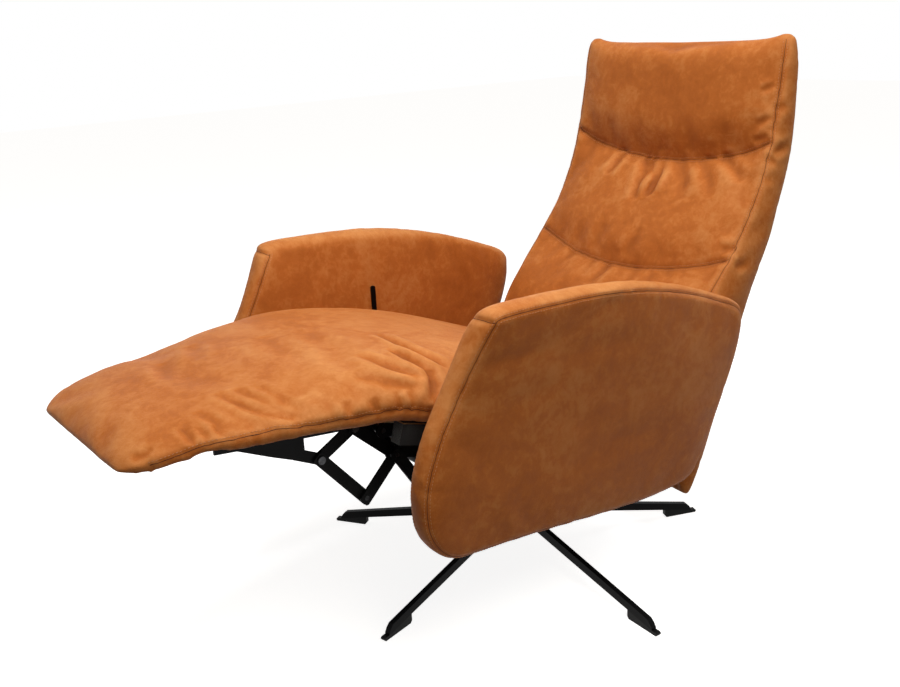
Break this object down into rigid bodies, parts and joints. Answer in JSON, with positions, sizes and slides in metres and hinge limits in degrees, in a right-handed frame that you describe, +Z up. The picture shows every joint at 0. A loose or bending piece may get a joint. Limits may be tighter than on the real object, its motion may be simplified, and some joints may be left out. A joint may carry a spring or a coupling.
{
  "type": "swivel recliner",
  "caption": "Reclining lounge chair with a leather chaise pad, a fold-down footrest on scissor links, a tilting padded back and a swivelling star base.",
  "frame": {"origin": "where the swivel axis meets the floor", "axes": "+Z up, the sitter faces -Y, the sitter's left arm is at +X"},
  "size_m": [0.7943, 1.3732, 0.9899],
  "materials": {
    "leather": "pull-up aniline leather, waxed, tan, with darker creases",
    "powder_coat": "fine-grained black powder coat",
    "bright_steel": "zinc-plated steel",
    "birch": "raw birch plywood",
    "webbing": "woven elastic webbing",
    "plastic": "black moulded nylon"
  },
  "bodies": {
    "base": {"base_hub": "powder_coat", "base_leg_1": "powder_coat", "base_leg_2": "powder_coat", "base_leg_3": "powder_coat", "base_leg_4": "powder_coat", "base_leg_5": "powder_coat", "foot_glides": "plastic", "column": "powder_coat", "swivel_bushes": "plastic", "thrust_bearing": "bright_steel"},
    "turret": {"spindle": "bright_steel", "swivel_plate": "powder_coat", "plate_bolts": "bright_steel", "front_channel": "powder_coat", "rear_channel": "powder_coat", "left_side_plate": "powder_coat", "right_side_plate": "powder_coat", "front_arm_tube": "powder_coat", "rear_arm_tube": "powder_coat", "frame_pins": "bright_steel", "left_seat_rail": "birch", "right_seat_rail": "birch", "front_seat_rail": "birch", "rear_seat_rail": "birch", "seat_webbing": "webbing", "seat_cushion": "leather", "left_arm_board": "birch", "right_arm_board": "birch", "left_arm": "leather", "right_arm": "leather", "gas_cylinder": "powder_coat", "lever_bracket": "powder_coat"},
    "footrest": {"footrest_brackets": "powder_coat", "footrest_rivets": "bright_steel", "footrest_board": "birch", "footrest_screws": "bright_steel", "leg_cushion": "leather"},
    "carrier": {"carrier_links": "powder_coat", "carrier_pins": "bright_steel"},
    "upper_link": {"upper_links": "powder_coat", "upper_rivets": "bright_steel"},
    "lower_link": {"lower_links": "powder_coat", "lower_pins": "bright_steel"},
    "tip_link": {"tip_links": "powder_coat", "tip_rivets": "bright_steel"},
    "drive_bar": {"drive_links": "powder_coat"},
    "drive_crank": {"drive_cranks": "powder_coat", "torque_tube": "powder_coat", "crank_pins": "bright_steel"},
    "back": {"back_brackets": "powder_coat", "back_cross_rod": "bright_steel", "back_board": "birch", "back_shell": "leather", "head_cushion": "leather", "middle_cushion": "leather", "low_cushion": "leather"},
    "gas_rod": {"gas_rod": "bright_steel"},
    "lever": {"release_lever": "powder_coat"}
  },
  "joints": [
    {"name": "swivel", "type": "hinge", "parent": "base", "child": "turret", "pos_m": [0, 0, 0.2], "axis": [0, 0, 1], "continuous": true},
    {"name": "footrest_fold", "type": "hinge", "parent": "turret", "child": "footrest", "pos_m": [0, -0.4551, 0.464], "axis": [1, 0, 0], "range_deg": [0, 84]},
    {"name": "carrier_swing", "type": "hinge", "parent": "turret", "child": "carrier", "pos_m": [0, -0.3644, 0.3122], "axis": [1, 0, 0], "range_deg": [-25.4, 0.1]},
    {"name": "upper_link_swing", "type": "hinge", "parent": "carrier", "child": "upper_link", "pos_m": [0, -0.4294, 0.4136], "axis": [1, 0, 0], "range_deg": [-0.1, 73.4]},
    {"name": "lower_link_swing", "type": "hinge", "parent": "carrier", "child": "lower_link", "pos_m": [0, -0.4294, 0.4136], "axis": [1, 0, 0], "range_deg": [-0.1, 106.1]},
    {"name": "tip_link_swing", "type": "hinge", "parent": "lower_link", "child": "tip_link", "pos_m": [0, -0.4882, 0.3566], "axis": [1, 0, 0], "range_deg": [-27, 0.1]},
    {"name": "drive_bar_swing", "type": "hinge", "parent": "carrier", "child": "drive_bar", "pos_m": [0, -0.4294, 0.4136], "axis": [1, 0, 0], "range_deg": [-0.1, 25.4]},
    {"name": "drive_crank_swing", "type": "hinge", "parent": "turret", "child": "drive_crank", "pos_m": [0, -0.2464, 0.2822], "axis": [1, 0, 0], "range_deg": [-25.4, 0.1]},
    {"name": "back_recline", "type": "hinge", "parent": "turret", "child": "back", "pos_m": [0, 0.17, 0.36], "axis": [1, 0, 0], "range_deg": [-15, 10]},
    {"name": "rod_slide", "type": "slide", "parent": "turret", "child": "gas_rod", "axis": [0, 1, 0], "range_m": [-0.0236, 0.0158]},
    {"name": "lever_pull", "type": "hinge", "parent": "turret", "child": "lever", "pos_m": [0, -0.12, 0.368], "axis": [1, 0, 0], "range_deg": [-22, 0], "stiffness_Nm_per_rad": 1}
  ],
  "couplings": [
    {"joint": "carrier_swing", "follows": "footrest_fold", "ratio": -0.3018},
    {"joint": "upper_link_swing", "follows": "footrest_fold", "ratio": 0.8725},
    {"joint": "lower_link_swing", "follows": "footrest_fold", "ratio": 1.2619},
    {"joint": "tip_link_swing", "follows": "footrest_fold", "ratio": -0.3207},
    {"joint": "drive_bar_swing", "follows": "footrest_fold", "ratio": 0.3018},
    {"joint": "drive_crank_swing", "follows": "footrest_fold", "ratio": -0.3018},
    {"joint": "rod_slide", "follows": "back_recline", "m_per_rad": 0.0895}
  ]
}
